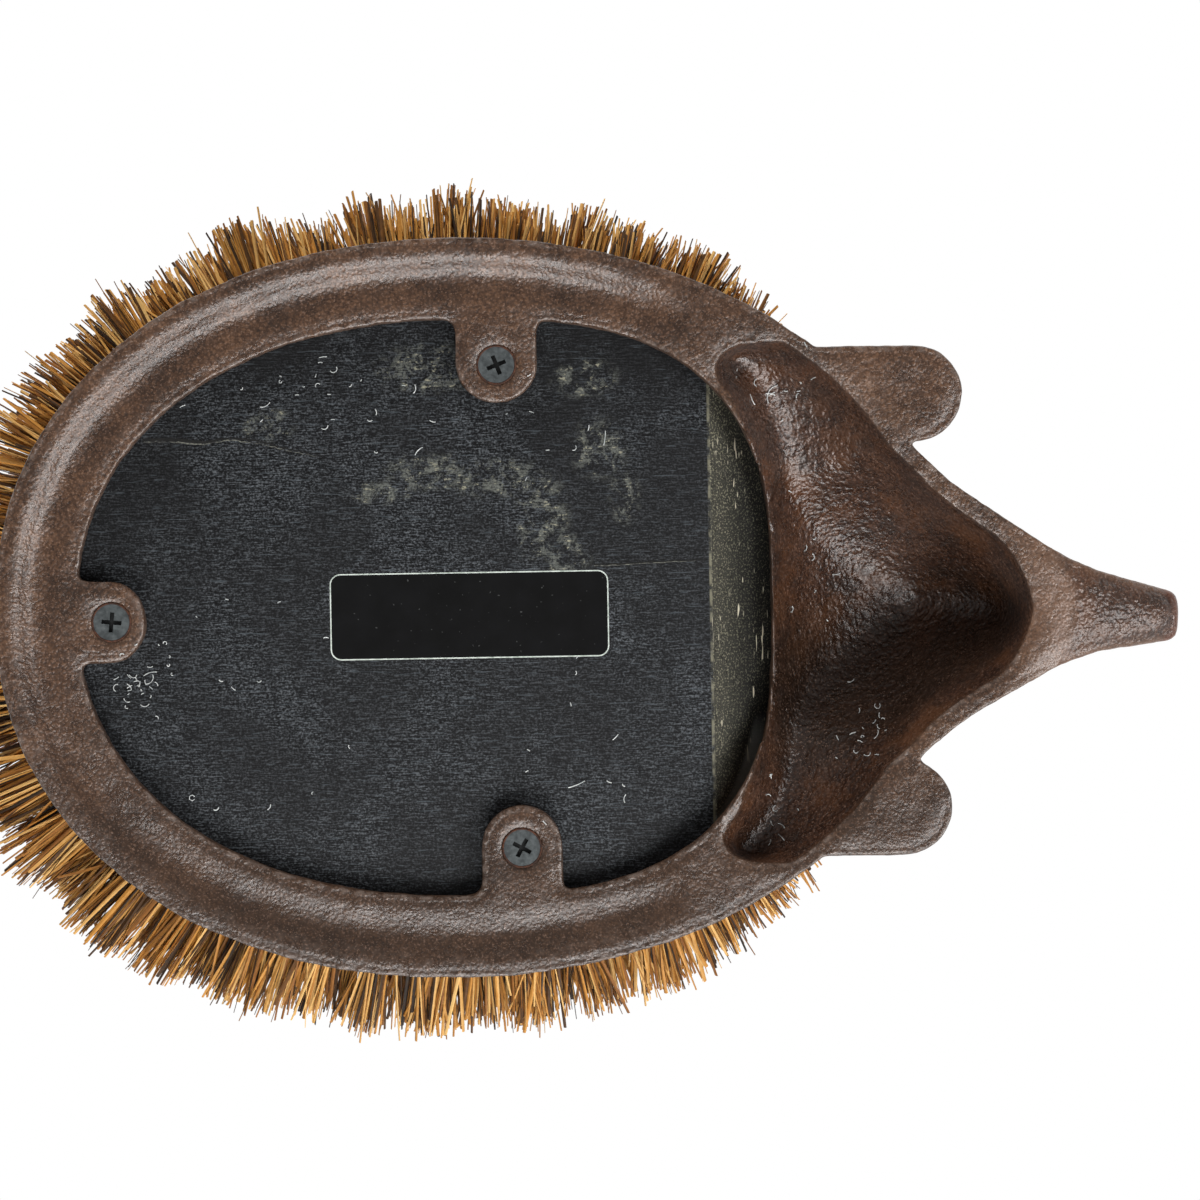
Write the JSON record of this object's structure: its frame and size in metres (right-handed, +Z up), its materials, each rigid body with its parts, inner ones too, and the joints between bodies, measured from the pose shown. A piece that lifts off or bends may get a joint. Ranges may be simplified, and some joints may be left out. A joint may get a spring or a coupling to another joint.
{
  "type": "boot scraper",
  "caption": "Hedgehog-shaped boot brush: hollow cast-iron rim, head and paws around a black wooden block of splayed coir bristles, screwed on from below",
  "frame": {"origin": "middle of the bounding box in X and Y, on the ground plane that the iron rim stands on", "axes": "+X towards the nose, +Y to the animal's left, +Z up out of the bristles"},
  "size_m": [0.3072, 0.2143, 0.0996],
  "materials": {
    "iron": "brown coating over a rough sand-cast skin",
    "painted_wood": "thin black paint, grain showing",
    "screw_steel": "dark phosphate",
    "coir": "stiff natural fibre"
  },
  "bodies": {
    "root": {"cast_body": "iron", "brush_block": "painted_wood", "screw_rear": "screw_steel", "screw_right": "screw_steel", "screw_left": "screw_steel", "bristles_front_left": "coir", "bristles_front_right": "coir", "bristles_rear_left": "coir", "bristles_rear_right": "coir"}
  },
  "joints": []
}
